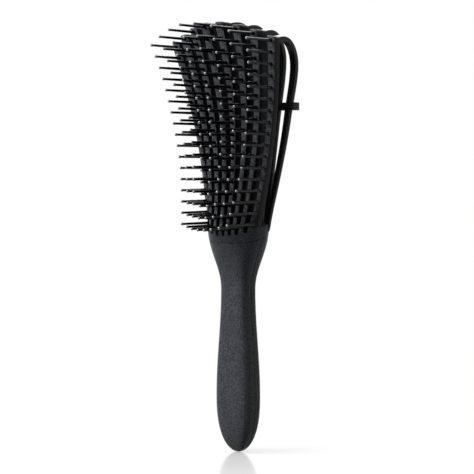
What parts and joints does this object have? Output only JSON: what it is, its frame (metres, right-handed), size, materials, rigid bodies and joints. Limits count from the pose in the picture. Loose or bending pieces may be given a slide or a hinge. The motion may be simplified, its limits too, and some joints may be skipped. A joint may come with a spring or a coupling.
{
  "type": "detangling hair brush",
  "caption": "Detangling hair brush with flexing spring-backed arms that carry rows of ball-tipped pins, a guide bar behind them and a waisted two-shell handle.",
  "frame": {"origin": "middle of the grip on the handle's axis", "axes": "+Z along the brush from the butt to the head, pins point to -Y, +X across the head"},
  "size_m": [0.0752, 0.0547, 0.2336],
  "materials": {
    "handle_plastic": "fine spark-eroded matt texture",
    "head_plastic": "satin",
    "spring_nylon": "satin",
    "pin_nylon": "semi-gloss"
  },
  "bodies": {
    "handle": {"handle_front_shell": "handle_plastic", "handle_rear_shell": "handle_plastic", "head_collar": "head_plastic", "guide_bar": "spring_nylon", "bow_spring_1": "spring_nylon", "bow_spring_2": "spring_nylon", "bow_spring_3": "spring_nylon", "bow_spring_4": "spring_nylon", "bow_spring_5": "spring_nylon", "bow_spring_6": "spring_nylon", "bow_spring_7": "spring_nylon", "bow_spring_8": "spring_nylon"},
    "arm_1": {"arm_bar_1": "head_plastic", "pin_row_1": "pin_nylon"},
    "arm_2": {"arm_bar_2": "head_plastic", "pin_row_2": "pin_nylon"},
    "arm_3": {"arm_bar_3": "head_plastic", "pin_row_3": "pin_nylon"},
    "arm_4": {"arm_bar_4": "head_plastic", "pin_row_4": "pin_nylon"},
    "arm_5": {"arm_bar_5": "head_plastic", "pin_row_5": "pin_nylon"},
    "arm_6": {"arm_bar_6": "head_plastic", "pin_row_6": "pin_nylon"},
    "arm_7": {"arm_bar_7": "head_plastic", "pin_row_7": "pin_nylon"},
    "arm_8": {"arm_bar_8": "head_plastic", "pin_row_8": "pin_nylon"}
  },
  "joints": [
    {"name": "arm_1_flex", "type": "hinge", "parent": "handle", "child": "arm_1", "pos_m": [-0.01612, -0.00407, 0.0654], "axis": [0.9833, 0, 0.1822], "range_deg": [-4, 4], "stiffness_Nm_per_rad": 0.6, "deforming": ["bow_spring_1"]},
    {"name": "arm_2_flex", "type": "hinge", "parent": "handle", "child": "arm_2", "pos_m": [-0.01133, -0.00775, 0.06403], "axis": [0.9914, 0, 0.1312], "range_deg": [-4, 4], "stiffness_Nm_per_rad": 0.6, "deforming": ["bow_spring_2"]},
    {"name": "arm_3_flex", "type": "hinge", "parent": "handle", "child": "arm_3", "pos_m": [-0.00673, -0.00901, 0.06311], "axis": [0.9969, 0, 0.0792], "range_deg": [-4, 4], "stiffness_Nm_per_rad": 0.6, "deforming": ["bow_spring_3"]},
    {"name": "arm_4_flex", "type": "hinge", "parent": "handle", "child": "arm_4", "pos_m": [-0.00223, -0.00938, 0.06266], "axis": [0.9996, 0, 0.0265], "range_deg": [-4, 4], "stiffness_Nm_per_rad": 0.6, "deforming": ["bow_spring_4"]},
    {"name": "arm_5_flex", "type": "hinge", "parent": "handle", "child": "arm_5", "pos_m": [0.00223, -0.00938, 0.06266], "axis": [0.9996, 0, -0.0265], "range_deg": [-4, 4], "stiffness_Nm_per_rad": 0.6, "deforming": ["bow_spring_5"]},
    {"name": "arm_6_flex", "type": "hinge", "parent": "handle", "child": "arm_6", "pos_m": [0.00673, -0.00901, 0.06311], "axis": [0.9969, 0, -0.0792], "range_deg": [-4, 4], "stiffness_Nm_per_rad": 0.6, "deforming": ["bow_spring_6"]},
    {"name": "arm_7_flex", "type": "hinge", "parent": "handle", "child": "arm_7", "pos_m": [0.01133, -0.00775, 0.06403], "axis": [0.9914, 0, -0.1312], "range_deg": [-4, 4], "stiffness_Nm_per_rad": 0.6, "deforming": ["bow_spring_7"]},
    {"name": "arm_8_flex", "type": "hinge", "parent": "handle", "child": "arm_8", "pos_m": [0.01612, -0.00407, 0.0654], "axis": [0.9833, 0, -0.1822], "range_deg": [-4, 4], "stiffness_Nm_per_rad": 0.6, "deforming": ["bow_spring_8"]}
  ]
}
